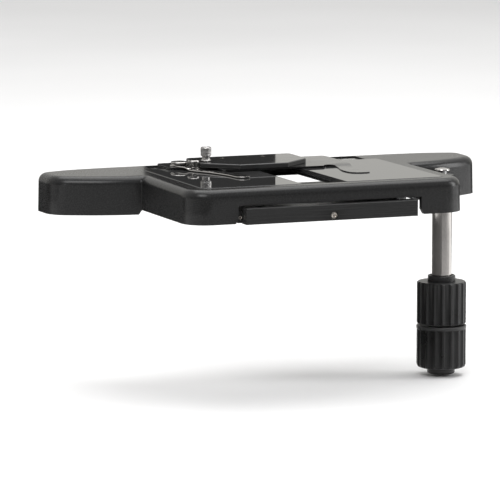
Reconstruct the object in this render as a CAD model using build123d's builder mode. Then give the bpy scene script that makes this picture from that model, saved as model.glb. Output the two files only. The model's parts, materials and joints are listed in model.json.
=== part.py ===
"""Rackless two-axis mechanical microscope stage, in millimetres.

Frame: the origin lies on the optical axis, in the mount face under the base plate.
+X is to the operator's right, +Y towards the microscope's column and +Z is up.
The fixed base carries a T-shaped upper stage that slides in Y, and the upper stage carries
a slide holder that slides in X. Two coaxial knobs hang on a tube in the nook of the right wing.
"""

import os
from math import cos, degrees, pi, sin, sqrt, tan, radians

from build123d import *

os.makedirs("parts", exist_ok=True)

# ---------------------------------------------------------------- driving dimensions

slip = 0.05                 # running clearance of a shaft in a bore, on the radius
seat_gap = 0.3              # gap between neighbours that move past each other

# heights above the mount face
pad_height = 2.5
base_thickness = 6.0
bar_bottom = 2.2
bar_height = 8.6
skirt_bottom = 2.6          # lower edge of the front portion
wing_bottom = 0.2
notch_top = 12.0            # top of the front skirt's notch
plate_top = 21.0
plate_thickness = 2.5
deck_thickness = 2.5
plate_proud = 0.2           # top plate above the body's rim

# plan of the upper stage body
front_half_width = 79.5
front_y = -46.7
back_y = 72.3
inner_corner_y = 24.5
wing_half_span = 126.0
step_back_y = 41.5          # behind it the middle reaches down as far as the wings
step_bevel = 1.6
wall = 3.0
draft = 1.2                 # mould draft of the outer walls, degrees
rim_radius = 4.5
corner_radius = 13.0
tip_radius = 13.0           # front corner of a wing's tip
notch_clearance = 1.1       # beside the base plate
notch_flare_width = 1.6     # bevel at the foot of the notch
notch_flare_height = 2.8

# top plate and its light slot
plate_half_width = 69.0
plate_front_y = -38.0
plate_back_y = 50.0
plate_gap = 0.25
plate_corner = 2.5
slot_half_width = 12.6
slot_back_y = 44.0
deck_slot_margin = 3.4      # the deck opening is this much wider than the plate's slot

# base
base_half_width = 51.2
base_back_y = 60.0
bar_setback = 2.2           # the bar is this much shorter than the base at each end
bar_screw_x = 0.8
bar_screw_drop = 1.6        # below the middle of the bar
bar_front_y = -49.7
base_front_y = -43.0
condenser_hole_radius = 25.0
mount_spacing_x = 64.0
mount_spacing_y = 54.0
mount_hole_radius = 1.65    # M4 tapping size
pad_half_width = 40.0
pad_half_depth = 34.0

# travel of the two slides, measured from the modelled position
y_travel = (-36.7, 17.3)
x_travel = (-29.5, 48.5)

# ball rails of the Y slide
rail_length = 66.0
rail_width = 5.5
ball_diameter = 3.0
ball_count = 6
ball_pitch = 6.6
ball_z = 10.8
rail_gap = 2.0
ball_x = 49.9
cage_thickness = 0.9
moving_rail_center_y = 19.0

# Y drive: tube, transfer belt, pinion and rack
shaft_offset = 8.5          # from the outer wall to the knobs' axis
shaft_y = 5.0
gear_module = 0.6
pinion_teeth = 24
rack_teeth = 33
rack_pitch_x = 50.75
rack_bottom = 2.7
rack_height = 3.6
tooth_backlash = 0.30       # thinning of a tooth on the pitch line
y_pulley_radius = 6.0
y_belt_bottom = 6.8
y_belt_width = 1.5
belt_thickness = 0.7
belt_clearance = 0.1        # between a belt's inner face and its pulleys

# coaxial knobs
tube_radius = 5.5
neck_radius = 4.0
shaft_radius = 2.5
knob_radius = 13.5
flange_radius = 13.75
collar_radius = 7.6
collar_height = 3.4
y_knob_height = 23.2
knob_gap = 0.9
x_knob_height = 23.4
flange_height = 1.7
cap_height = 3.6
flute_count = 18
flute_radius = 3.0
flute_depth = 0.8
collar_top = -38.9

# X drive: belt, pulleys, guide and carriage
x_pulley_radius = 5.5
idler_radius = 5.0
x_belt_bottom = 13.6
x_belt_width = 1.9
front_run_y = 54.5
left_idler_x = -68.0
guide_floor = 17.5
guide_half_length = 61.0
guide_height = 2.5
guide_top_width = 8.0
guide_bottom_width = 6.0
carriage_center_x = -9.5
carriage_length = 40.0
carriage_width = 14.6
clamp_length = 10.0
clamp_play = 3.0            # left at each end of the belt clamp's slot

# bracket that carries the tube
bracket_top = 13.0
bracket_radius = 8.4
bracket_floor_top = 5.8     # upper face of the lower arm
bracket_roof_bottom = 9.4   # lower face of the upper arm
bracket_seat_gap = 0.05
web_thickness = 2.4
web_half_width = 13.0
bush_wall = 1.0

# fasteners: shank radius, head radius and head height of each kind
small_screw = (0.9, 1.5, 1.2)
cover_screw = (1.2, 2.2, 0.8)

# slide holder
slide_right_x = 28.5        # the slide's right end rests here against the claw
fence_y = 22.6
finger_notch_x = -33.0      # the holder's plate steps back here to let the finger pass
fence_step = 13.4
lobe_front_x = -44.5
lobe_left_x = -56.5
lobe_left_y = 44.0
holder_back_y = 64.0
holder_arm_width = 14.5
block_back_y = 62.0
block_front_half = 14.0
block_bevel = 15.0
claw_reach = 30.0           # from the fence to the end of the claw
claw_hook = 11.1            # from the slide's end to the claw's point
holder_lift = 0.3           # gap between the top plate and the holder
holder_thickness = 1.0
block_thickness = 2.5
block_half_width = 31.0
pivot_x = -48.4
pivot_y = 49.5
thumb_x = -35.0
thumb_y = 44.0
hub_radius = 5.1
finger_thickness = 0.6

# ---------------------------------------------------------------- derived heights and places

base_bottom = pad_height
base_top = base_bottom + base_thickness
plate_bottom = plate_top - plate_thickness
deck_bottom = plate_bottom - deck_thickness
rim_top = plate_top - plate_proud
shaft_x = front_half_width + shaft_offset
notch_half_width = base_half_width + notch_clearance
bar_half_length = base_half_width - bar_setback
bracket_face_x = front_half_width + bracket_seat_gap
fixed_rail_center_y = moving_rail_center_y + (y_travel[0] + y_travel[1]) / 2
cage_center_y = (moving_rail_center_y + fixed_rail_center_y) / 2
pinion_pitch_radius = gear_module * pinion_teeth / 2
pinion_x = rack_pitch_x + pinion_pitch_radius
belt_inset = belt_thickness / 2 + belt_clearance
rear_run_y = front_run_y + 2 * idler_radius
guide_y = (front_run_y + rear_run_y) / 2
front_idler_x = shaft_x - x_pulley_radius - idler_radius
rear_idler_x = shaft_x + x_pulley_radius - idler_radius
front_idler_y = front_run_y - idler_radius
guide_top = guide_floor + guide_height
holder_bottom = plate_top + holder_lift
holder_top = holder_bottom + holder_thickness
block_top = holder_top + block_thickness
block_center_x = carriage_center_x
y_knob_top = collar_top - collar_height
y_knob_bottom = y_knob_top - y_knob_height
x_knob_top = y_knob_bottom - knob_gap
x_knob_bottom = x_knob_top - x_knob_height
bracket_bottom = skirt_bottom
rack_top = rack_bottom + rack_height
tooth_pitch = pi * gear_module
rack_length = rack_teeth * tooth_pitch
rack_center_y = shaft_y + (y_travel[0] + y_travel[1]) / 2
rack_root_x = rack_pitch_x - 1.25 * gear_module
rack_back_x = rack_root_x - 2.0
ball_radius = ball_diameter / 2
groove_depth = (ball_radius + slip) * sqrt(2)
fixed_rail_top = ball_z + groove_depth
moving_rail_bottom = base_top + 0.4


def write(builder, name):
    """Label a finished piece and write its STEP file."""
    builder.part.label = name
    export_step(builder.part, f"parts/{name}.step")


def z_plane(x, y, z, down=False):
    """Horizontal plane at a point, facing up, or down for what is driven from below."""
    return Plane(origin=(x, y, z), x_dir=(1, 0, 0), z_dir=(0, 0, -1 if down else 1))


def disc(plane, radius, depth, mode=Mode.ADD):
    """Cylinder on a plane, running along its normal, or behind it for a negative depth."""
    with BuildSketch(plane) as face:
        Circle(radius)
    extrude(face.sketch, amount=depth, mode=mode)


def add_screws(planes, head_radius, head_height, shank_radius, shank_length):
    """Socket head screws: each head stands on its plane and the shank runs in behind it."""
    for plane in planes:
        disc(plane, head_radius, head_height)
        with BuildSketch(plane.offset(head_height)) as socket:
            RegularPolygon(0.55 * head_radius, 6)
        extrude(socket.sketch, amount=-0.6 * head_height, mode=Mode.SUBTRACT)
        disc(plane, shank_radius, -shank_length)


def drill(planes, radius, depth, counter_radius=0.0, counter_depth=0.0):
    """Blind holes running in behind each plane, with a counterbore where one is given."""
    for plane in planes:
        disc(plane, radius, -depth, Mode.SUBTRACT)
        if counter_depth:
            disc(plane, counter_radius, -counter_depth, Mode.SUBTRACT)


def round_corners(sketch, corners):
    """Round the sketch vertices nearest to the given points: (x, y, radius)."""
    for x, y, radius in corners:
        vertex = sketch.vertices().sort_by_distance((x, y, 0))[0]
        fillet(vertex, radius)


# places of the fasteners
rail_screw_ys = (-24.0, 0.0, 24.0)
fixed_screw_x = ball_x - rail_gap / 2 - rail_width / 2
moving_screw_x = ball_x + rail_gap / 2 + rail_width - 2.0
fixed_screws = [z_plane(side * fixed_screw_x, fixed_rail_center_y + y, fixed_rail_top)
                for side in (-1, 1) for y in rail_screw_ys]
moving_screws = [z_plane(side * moving_screw_x, moving_rail_center_y + y, moving_rail_bottom, True)
                 for side in (-1, 1) for y in rail_screw_ys]
guide_screws = [z_plane(x, guide_y, guide_top) for x in (-50.0, 0.0, 50.0)]
belt_outer_x = shaft_x + x_pulley_radius
cover_post_radius = 3.0
moving_rail_back_x = ball_x + rail_gap / 2 + rail_width
cover_post_places = ((moving_rail_back_x + cover_post_radius + 4.6, front_run_y - 8.0),
                     (belt_outer_x + cover_post_radius + 3.5, front_run_y - 15.0),
                     ((belt_outer_x + wing_half_span) / 2 + 3.2, front_run_y + 1.5))
cover_posts = [(side * x, y) for side in (-1, 1) for x, y in cover_post_places]
cover_thickness = 1.2
idlers = {"left_idler": (left_idler_x, guide_y),
          "front_idler": (front_idler_x, front_idler_y),
          "rear_idler": (rear_idler_x, guide_y)}
idler_pin_radius = 1.5
pinion_pin_radius = 1.25
bracket_screws = [Plane(origin=(bracket_face_x + web_thickness, shaft_y + side * 11.0, 8.0), z_dir=(1, 0, 0))
                  for side in (-1, 1)]

# ---------------------------------------------------------------- upper stage body

wing_front = [(wing_half_span - 25.0, inner_corner_y + 4.8),
              (wing_half_span - 7.2, inner_corner_y + 12.8),
              (wing_half_span - 0.5, inner_corner_y + 17.4)]
wing_back = [(wing_half_span, back_y - 7.8), (wing_half_span - 18.5, back_y - 1.7),
             (wing_half_span - 42.0, back_y)]


def body_outline(inset):
    """Half of the T-shaped outline, inset from the outer walls, mirrored about the Y axis."""
    with BuildSketch(mode=Mode.PRIVATE) as outline:
        with BuildLine():
            Polyline((0, front_y), (front_half_width, front_y), (front_half_width, inner_corner_y))
            ThreePointArc((front_half_width, inner_corner_y), wing_front[0], wing_front[1])
            Polyline(wing_front[1], wing_front[2], *wing_back, (0, back_y), (0, front_y))
        make_face()
        round_corners(outline, [
            (front_half_width, front_y, corner_radius),
            (front_half_width, inner_corner_y, 0.8),
            (*wing_front[2], tip_radius),
            (*wing_back[0], 8.0),
            (*wing_back[1], 60.0),
            (*wing_back[2], 180.0),
        ])
        mirror(about=Plane.YZ)
        if inset:
            offset(amount=-inset, mode=Mode.REPLACE)
    return outline.sketch


with BuildPart() as stage_body:
    with BuildSketch(Plane.XY.offset(rim_top)):
        add(body_outline(0.4))
    extrude(amount=-(rim_top - wing_bottom), taper=-draft)
    top_edges = stage_body.edges().group_by(Axis.Z)[-1]
    fillet(top_edges, rim_radius)
    # hollow underside
    with BuildSketch(Plane.XY.offset(wing_bottom)):
        add(body_outline(wall))
    extrude(amount=deck_bottom - wing_bottom, mode=Mode.SUBTRACT)
    # the front portion's skirt is shallower than the wings
    with BuildSketch(Plane.XZ.offset(-(front_y - 1))):
        with BuildLine():
            step_foot = front_half_width + step_bevel
            Polyline((-step_foot, wing_bottom - 1), (-step_foot, wing_bottom),
                     (-front_half_width, skirt_bottom), (front_half_width, skirt_bottom),
                     (step_foot, wing_bottom), (step_foot, wing_bottom - 1), close=True)
        make_face()
    extrude(amount=-(step_back_y - front_y + 1), mode=Mode.SUBTRACT)
    # notches in the front and rear skirts let the fixed base pass
    for notch_y, skirt_z, top in ((front_y, skirt_bottom, notch_top),
                                  (back_y, wing_bottom, fixed_rail_top + seat_gap)):
        with BuildSketch(Plane.XZ.offset(-notch_y)):
            with BuildLine():
                flare = notch_half_width + notch_flare_width
                shoulder = skirt_z + notch_flare_height
                Polyline((-flare, skirt_z - 1), (-flare, skirt_z),
                         (-notch_half_width, shoulder),
                         (-notch_half_width, top), (notch_half_width, top),
                         (notch_half_width, shoulder), (flare, skirt_z), (flare, skirt_z - 1),
                         close=True)
            make_face()
        extrude(amount=2 * wall + 1, both=True, mode=Mode.SUBTRACT)
    # recess for the top plate and the deck opening
    with BuildSketch(Plane.XY.offset(plate_bottom)):
        with Locations((0, (plate_front_y + plate_back_y) / 2)):
            RectangleRounded(2 * (plate_half_width + plate_gap),
                             plate_back_y - plate_front_y + 2 * plate_gap, plate_corner + plate_gap)
    extrude(amount=plate_thickness, mode=Mode.SUBTRACT)
    with BuildSketch(Plane.XY.offset(deck_bottom)):
        with Locations((0, (plate_front_y + slot_back_y) / 2 + 2)):
            RectangleRounded(2 * (slot_half_width + deck_slot_margin),
                             slot_back_y - plate_front_y + 4 - 2, 6)
    extrude(amount=deck_thickness, mode=Mode.SUBTRACT)
    # channel for the X guide, with a slot for the belt clamp
    with BuildSketch(Plane.XY.offset(guide_floor)):
        with Locations((0, guide_y - 0.3)):
            Rectangle(2 * guide_half_length + 3, carriage_width + 0.9)
    extrude(amount=rim_top - guide_floor, mode=Mode.SUBTRACT)
    with BuildSketch(Plane.XY.offset(deck_bottom)):
        with Locations((carriage_center_x + (x_travel[0] + x_travel[1]) / 2, front_run_y)):
            SlotOverall(clamp_length + x_travel[1] - x_travel[0] + 2 * clamp_play, 3.2)
    extrude(amount=guide_floor - deck_bottom, mode=Mode.SUBTRACT)
    # window in the right wall for the Y belt, slots in the wing for the X belt
    with BuildSketch(Plane.YZ.offset(front_half_width - 2 * wall)):
        with Locations((shaft_y, (bracket_floor_top + bracket_roof_bottom) / 2)):
            Rectangle(17.0, bracket_roof_bottom - bracket_floor_top)
    extrude(amount=3 * wall, mode=Mode.SUBTRACT)
    for run_x in (shaft_x - x_pulley_radius, shaft_x + x_pulley_radius):
        with BuildSketch(Plane.XZ.offset(-(inner_corner_y - 3))):
            with Locations((run_x, x_belt_bottom + x_belt_width / 2)):
                Rectangle(3.0, 3.2)
        extrude(amount=-12, mode=Mode.SUBTRACT)
    # bosses for the wing covers' screws
    for x, y in cover_posts:
        with BuildSketch(Plane.XY.offset(wing_bottom + cover_thickness)):
            with Locations((x, y)):
                Circle(cover_post_radius)
        extrude(amount=deck_bottom - wing_bottom - cover_thickness)
    # tapped holes for rails, guide, idlers, pinion, bracket and covers
    drill([plane.offset(-(deck_bottom - moving_rail_bottom)) for plane in moving_screws],
          small_screw[0] + slip, 2.0)
    drill([plane.offset(-guide_height) for plane in guide_screws], small_screw[0] + slip, 3.0)
    drill([z_plane(x, y, deck_bottom, True) for x, y in idlers.values()], 1.0 + slip, 3.0)
    drill([z_plane(pinion_x, shaft_y, deck_bottom, True)], 1.0 + slip, 2.0)
    drill([plane.offset(-web_thickness) for plane in bracket_screws], small_screw[0] + slip, wall)
    drill([z_plane(x, y, wing_bottom + cover_thickness, True) for x, y in cover_posts],
          cover_screw[0] + slip, 8.0)
write(stage_body, "stage_body")

# ---------------------------------------------------------------- top plate

with BuildPart() as top_plate:
    slot_length = slot_back_y - plate_front_y
    with BuildSketch(Plane.XY.offset(plate_bottom)) as plate_face:
        with Locations((0, (plate_front_y + plate_back_y) / 2)):
            RectangleRounded(2 * plate_half_width, plate_back_y - plate_front_y, plate_corner)
        with Locations((0, plate_front_y + slot_length / 2)):
            Rectangle(2 * slot_half_width, slot_length, mode=Mode.SUBTRACT)
        round_corners(plate_face, [
            (slot_half_width, slot_back_y, 5.0),
            (-slot_half_width, slot_back_y, 5.0),
        ])
    extrude(amount=plate_thickness)
    chamfer(top_plate.faces().sort_by(Axis.Z)[-1].edges(), 0.25)
write(top_plate, "top_plate")

# ---------------------------------------------------------------- base

rack_tab = 4.0
rack_screws = [Plane(origin=(rack_root_x, rack_center_y + side * (rack_length + rack_tab) / 2,
                             rack_bottom + rack_height / 2), z_dir=(1, 0, 0)) for side in (-1, 1)]
bar_screw = Plane(origin=(bar_screw_x, bar_front_y, bar_bottom + bar_height / 2 - bar_screw_drop),
                  z_dir=(0, -1, 0))
bar_head = (1.9, 1.8)
bar_counterbore = 2.2
end_screws = [Plane(origin=(side * (base_half_width - bar_setback / 2), base_front_y,
                            base_bottom + base_thickness / 2), z_dir=(0, -1, 0)) for side in (-1, 1)]

with BuildPart() as base_plate:
    with BuildSketch(Plane.XY.offset(base_bottom)) as base_face:
        with Locations((0, (base_front_y + base_back_y) / 2)):
            Rectangle(2 * base_half_width, base_back_y - base_front_y)
        chamfer(base_face.vertices().group_by(Axis.Y)[-1], 6.0)
    extrude(amount=base_thickness)
    with BuildSketch():
        RectangleRounded(2 * pad_half_width, 2 * pad_half_depth, 6.0)
    extrude(amount=pad_height)
    with BuildSketch():
        Circle(condenser_hole_radius)
    extrude(amount=base_top, mode=Mode.SUBTRACT)
    with BuildSketch():
        with GridLocations(mount_spacing_x, mount_spacing_y, 2, 2):
            Circle(mount_hole_radius)
    extrude(amount=base_top, mode=Mode.SUBTRACT)
    # seat of the Y rack along the right edge
    with BuildSketch(Plane.XY.offset(base_bottom)):
        with Locations(((rack_back_x + base_half_width + 1) / 2, rack_center_y)):
            Rectangle(base_half_width + 1 - rack_back_x, rack_length + 2 * rack_tab)
    extrude(amount=base_thickness, mode=Mode.SUBTRACT)
    drill([plane.offset(-(fixed_rail_top - base_top)) for plane in fixed_screws],
          small_screw[0] + slip, 4.0)
    drill([plane.offset(-(rack_root_x - rack_back_x)) for plane in rack_screws],
          small_screw[0] + slip, 6.0)
    drill([bar_screw.offset(-(base_front_y - bar_front_y))], 1.25 + slip, 8.0)
    drill(end_screws, 0.7 + slip, 3.0)
write(base_plate, "base_plate")

with BuildPart() as front_bar:
    with BuildSketch(Plane.XY.offset(bar_bottom)):
        with Locations((0, (bar_front_y + base_front_y) / 2)):
            Rectangle(2 * bar_half_length, base_front_y - bar_front_y)
    extrude(amount=bar_height)
    chamfer(front_bar.faces().sort_by(Axis.Y)[0].edges(), 0.4)
    drill([bar_screw], 1.25 + slip, 10.0, bar_head[0] + 0.1, bar_counterbore)
write(front_bar, "front_bar")

with BuildPart() as front_bar_screw:
    add_screws([bar_screw.offset(-bar_counterbore)], *bar_head, 1.25, 11.0)
write(front_bar_screw, "front_bar_screw")

with BuildPart() as base_end_screws:
    add_screws(end_screws, 1.0, 1.0, 0.7, 3.0)
write(base_end_screws, "base_end_screws")


def rail_outline(face_x, back_x, bottom, top):
    """Rail section on the XZ plane at +X, with a V groove in the face towards the balls."""
    apex_x = ball_x + (groove_depth if back_x > face_x else -groove_depth)
    half_mouth = abs(apex_x - face_x)
    with BuildLine() as outline:
        Polyline((face_x, bottom), (face_x, ball_z - half_mouth), (apex_x, ball_z),
                 (face_x, ball_z + half_mouth), (face_x, top), (back_x, top), (back_x, bottom), close=True)
    make_face(outline.edges())


fixed_face_x = ball_x - rail_gap / 2
moving_face_x = ball_x + rail_gap / 2
for side, side_name in ((-1, "left"), (1, "right")):
    with BuildPart() as fixed_rail:
        with BuildSketch(Plane.XZ.offset(-(fixed_rail_center_y - rail_length / 2))):
            rail_outline(fixed_face_x, fixed_face_x - rail_width, base_top, fixed_rail_top)
        extrude(amount=-rail_length)
        drill([plane for plane in fixed_screws if plane.origin.X > 0],
              small_screw[0] + slip, 6.0, small_screw[1] + 0.1, small_screw[2] + 0.2)
        if side < 0:
            mirror(about=Plane.YZ, mode=Mode.REPLACE)
    write(fixed_rail, f"{side_name}_fixed_rail")

    with BuildPart() as moving_rail:
        with BuildSketch(Plane.XZ.offset(-(moving_rail_center_y - rail_length / 2))):
            rail_outline(moving_face_x, moving_face_x + rail_width, moving_rail_bottom, deck_bottom)
        extrude(amount=-rail_length)
        drill([plane for plane in moving_screws if plane.origin.X > 0],
              small_screw[0] + slip, 9.0, small_screw[1] + 0.1, small_screw[2] + 0.2)
        if side < 0:
            mirror(about=Plane.YZ, mode=Mode.REPLACE)
    write(moving_rail, f"{side_name}_moving_rail")

    ball_places = [(side * ball_x, cage_center_y + ball_pitch * (n - (ball_count - 1) / 2), ball_z)
                   for n in range(ball_count)]
    with BuildPart() as ball_cage:
        with Locations((side * ball_x, cage_center_y, ball_z)):
            Box(cage_thickness, ball_pitch * ball_count - 1.6, 3.8)
        with Locations(*ball_places):
            Cylinder(ball_radius + slip, 2 * cage_thickness, rotation=(0, 90, 0), mode=Mode.SUBTRACT)
    write(ball_cage, f"{side_name}_ball_cage")

    with BuildPart() as balls:
        with Locations(*ball_places):
            Sphere(ball_radius)
    write(balls, f"{side_name}_balls")

head_drop = small_screw[2] + 0.2
with BuildPart() as rail_screws_fixed:
    add_screws([plane.offset(-head_drop) for plane in fixed_screws],
               small_screw[1], small_screw[2], small_screw[0], fixed_rail_top - base_top - head_drop + 3.5)
write(rail_screws_fixed, "fixed_rail_screws")

with BuildPart() as rail_screws_moving:
    add_screws([plane.offset(-head_drop) for plane in moving_screws], small_screw[1], small_screw[2],
               small_screw[0], deck_bottom - moving_rail_bottom - head_drop + 1.8)
write(rail_screws_moving, "moving_rail_screws")

# ---------------------------------------------------------------- Y rack and transfer pinion

pressure = tan(radians(20))


def tooth_points(root, tip, half_at_pitch, pitch_height):
    """Corners of one straight-sided tooth: heights along the tooth, half widths across it."""
    return [(root, half_at_pitch + (pitch_height - root) * pressure),
            (tip, half_at_pitch - (tip - pitch_height) * pressure)]


half_tooth = tooth_pitch / 4 - tooth_backlash / 2
rack_tip_x = rack_pitch_x + gear_module
(_, rack_root_half), (_, rack_tip_half) = tooth_points(
    rack_root_x, rack_tip_x, half_tooth, rack_pitch_x)

with BuildPart() as y_rack:
    with BuildSketch(Plane.XY.offset(rack_bottom)):
        with Locations(((rack_back_x + rack_root_x) / 2, rack_center_y)):
            Rectangle(rack_root_x - rack_back_x, rack_length + 2 * rack_tab)
        for n in range(rack_teeth):
            y = rack_center_y + (n - (rack_teeth - 1) / 2) * tooth_pitch
            with BuildLine():
                Polyline((rack_root_x, y - rack_root_half), (rack_tip_x, y - rack_tip_half),
                         (rack_tip_x, y + rack_tip_half), (rack_root_x, y + rack_root_half), close=True)
            make_face()
    extrude(amount=rack_height)
    drill(rack_screws, small_screw[0] + slip, 3.0)
write(y_rack, "y_rack")

with BuildPart() as rack_fixings:
    add_screws(rack_screws, 1.4, 1.0, small_screw[0], rack_root_x - rack_back_x + 5.0)
write(rack_fixings, "y_rack_screws")

pinion_root_radius = pinion_pitch_radius - 1.25 * gear_module
pinion_tip_radius = pinion_pitch_radius + gear_module
(_, gear_root_half), (_, gear_tip_half) = tooth_points(
    pinion_root_radius, pinion_tip_radius, half_tooth, pinion_pitch_radius)
# a space of the pinion faces the rack tooth nearest to the tube's Y
nearest_tooth = round((shaft_y - rack_center_y) / tooth_pitch + (rack_teeth - 1) / 2)
tooth_offset = rack_center_y + (nearest_tooth - (rack_teeth - 1) / 2) * tooth_pitch - shaft_y
pinion_phase = degrees(-tooth_offset / pinion_pitch_radius) + 180 / pinion_teeth

with BuildPart() as transfer_pinion:
    with BuildSketch(Plane.XY.offset(rack_bottom + 0.2)):
        with Locations((pinion_x, shaft_y)):
            Circle(pinion_root_radius)
        for n in range(pinion_teeth):
            turn = radians(180 + pinion_phase + 360 * n / pinion_teeth)
            across, along = (-sin(turn), cos(turn)), (cos(turn), sin(turn))
            corners = [(pinion_root_radius - 0.3, gear_root_half), (pinion_tip_radius, gear_tip_half)]
            corners += [(radius, -half) for radius, half in reversed(corners)]
            with BuildLine():
                Polyline([(pinion_x + radius * along[0] + half * across[0],
                           shaft_y + radius * along[1] + half * across[1])
                          for radius, half in corners], close=True)
            make_face()
    extrude(amount=rack_height - 0.4)
    pulley_top = moving_rail_bottom - 0.3
    disc(z_plane(pinion_x, shaft_y, rack_top - 0.2), pinion_root_radius - 0.8, pulley_top - rack_top + 0.2)
    disc(z_plane(pinion_x, shaft_y, rack_top + 0.2), pinion_pitch_radius - belt_inset,
         pulley_top - rack_top - 0.2)
    with BuildSketch(Plane.XY.offset(rack_bottom)):
        with Locations((pinion_x, shaft_y)):
            Circle(pinion_pin_radius + slip)
    extrude(amount=deck_bottom, mode=Mode.SUBTRACT)
write(transfer_pinion, "transfer_pinion")

with BuildPart() as pinion_pin:
    with BuildSketch(Plane.XY.offset(rack_bottom - 0.8)):
        with Locations((pinion_x, shaft_y)):
            Circle(2.4)
    extrude(amount=0.9)
    with BuildSketch(Plane.XY.offset(rack_bottom)):
        with Locations((pinion_x, shaft_y)):
            Circle(pinion_pin_radius)
    extrude(amount=deck_bottom - rack_bottom)
    with BuildSketch(Plane.XY.offset(deck_bottom)):
        with Locations((pinion_x, shaft_y)):
            Circle(1.0)
    extrude(amount=1.8)
write(pinion_pin, "pinion_pin")


def y_belt_shape(growth):
    """Area inside the Y belt's middle line, grown outwards."""
    with BuildSketch(mode=Mode.PRIVATE) as area:
        with BuildLine():
            CenterArc((shaft_x, shaft_y), y_pulley_radius + growth, 0, 360)
            CenterArc((pinion_x, shaft_y), pinion_pitch_radius + growth, 0, 360)
        make_hull()
    return area.sketch


with BuildPart() as y_belt:
    with BuildSketch(Plane.XY.offset(y_belt_bottom)):
        add(y_belt_shape(belt_thickness / 2))
        add(y_belt_shape(-belt_thickness / 2), mode=Mode.SUBTRACT)
    extrude(amount=y_belt_width)
write(y_belt, "y_belt")

# ---------------------------------------------------------------- bracket, bushes and tube

with BuildPart() as drive_bracket:
    with BuildSketch(Plane.XY.offset(bracket_bottom)):
        with Locations((bracket_face_x + web_thickness / 2, shaft_y)):
            Rectangle(web_thickness, 2 * web_half_width)
        with Locations(((bracket_face_x + shaft_x) / 2, shaft_y)):
            Rectangle(shaft_x - bracket_face_x, 2 * bracket_radius)
        with Locations((shaft_x, shaft_y)):
            Circle(bracket_radius)
    extrude(amount=bracket_top - bracket_bottom)
    # gap between the two arms, with room for the pulley and its belt
    with BuildSketch(Plane.XY.offset(bracket_floor_top)):
        with Locations((bracket_face_x + web_thickness + 10, shaft_y)):
            Rectangle(20, 2 * bracket_radius + 1)
        with Locations((bracket_face_x, shaft_y)):
            Rectangle(4 * web_thickness, 17.0)
    extrude(amount=bracket_roof_bottom - bracket_floor_top, mode=Mode.SUBTRACT)
    with BuildSketch(Plane.XY.offset(bracket_bottom)):
        with Locations((shaft_x, shaft_y)):
            Circle(neck_radius + slip + bush_wall)
    extrude(amount=bracket_top - bracket_bottom, mode=Mode.SUBTRACT)
    drill(bracket_screws, small_screw[0] + slip, 2 * web_thickness)
write(drive_bracket, "drive_bracket")

with BuildPart() as bracket_fixings:
    add_screws(bracket_screws, small_screw[1], small_screw[2], small_screw[0], web_thickness + wall - 0.3)
write(bracket_fixings, "bracket_screws")

for bush_name, bottom, top in (("lower_bush", bracket_bottom, bracket_floor_top),
                               ("upper_bush", bracket_roof_bottom, bracket_top)):
    with BuildPart() as bush:
        with BuildSketch(Plane.XY.offset(bottom)):
            with Locations((shaft_x, shaft_y)):
                Circle(neck_radius + slip + bush_wall)
                Circle(neck_radius + slip, mode=Mode.SUBTRACT)
        extrude(amount=top - bottom)
    write(bush, bush_name)


def turned(profile):
    """Solid of revolution about the knobs' axis from (radius, height) corners."""
    with BuildSketch(Plane(origin=(shaft_x, shaft_y, 0), x_dir=(1, 0, 0), z_dir=(0, -1, 0))) as section:
        with BuildLine():
            Polyline(profile, close=True)
        make_face()
    revolve(section.sketch, axis=Axis((shaft_x, shaft_y, 0), (0, 0, 1)))


bore = shaft_radius + slip
clip_bottom = bracket_top + 0.1
clip_top = clip_bottom + 0.3
tube_top = clip_top + 0.1
shoulder_z = bracket_bottom - seat_gap

with BuildPart() as y_tube:
    turned([(bore, y_knob_bottom + 2.0), (tube_radius, y_knob_bottom + 2.0), (tube_radius, shoulder_z),
            (neck_radius, shoulder_z), (neck_radius, clip_bottom), (neck_radius - 0.4, clip_bottom),
            (neck_radius - 0.4, clip_top), (neck_radius, clip_top), (neck_radius, tube_top),
            (bore, tube_top)])
write(y_tube, "y_tube")

with BuildPart() as tube_clip:
    with BuildSketch(Plane.XY.offset(clip_bottom)):
        with Locations((shaft_x, shaft_y)):
            Circle(neck_radius + 1.2)
            Circle(neck_radius - 0.4, mode=Mode.SUBTRACT)
        with Locations((shaft_x + neck_radius, shaft_y)):
            Rectangle(6, 4.4, mode=Mode.SUBTRACT)
    extrude(amount=clip_top - clip_bottom)
write(tube_clip, "tube_clip")

pulley_rim = y_pulley_radius - belt_inset
flange_rim = y_pulley_radius + belt_thickness
with BuildPart() as y_pulley:
    turned([(neck_radius, bracket_floor_top + 0.2), (flange_rim, bracket_floor_top + 0.2),
            (flange_rim, y_belt_bottom - 0.2), (pulley_rim, y_belt_bottom - 0.2),
            (pulley_rim, y_belt_bottom + y_belt_width + 0.2),
            (flange_rim, y_belt_bottom + y_belt_width + 0.2),
            (flange_rim, bracket_roof_bottom - 0.2), (neck_radius, bracket_roof_bottom - 0.2)])
write(y_pulley, "y_pulley")

with BuildPart() as y_collar:
    turned([(tube_radius, y_knob_top), (collar_radius, y_knob_top), (collar_radius, collar_top - 0.4),
            (collar_radius - 0.4, collar_top), (collar_radius - 0.9, collar_top),
            (collar_radius - 1.3, collar_top - 0.5), (tube_radius, collar_top - 0.5)])
write(y_collar, "y_collar")


def cut_flutes(bottom, top):
    """Scallop the grip of a knob all round."""
    with BuildSketch(Plane.XY.offset(bottom)) as flutes:
        with Locations((shaft_x, shaft_y)):
            with PolarLocations(knob_radius + flute_radius - flute_depth, flute_count):
                Circle(flute_radius)
    extrude(flutes.sketch, amount=top - bottom, mode=Mode.SUBTRACT)


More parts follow.
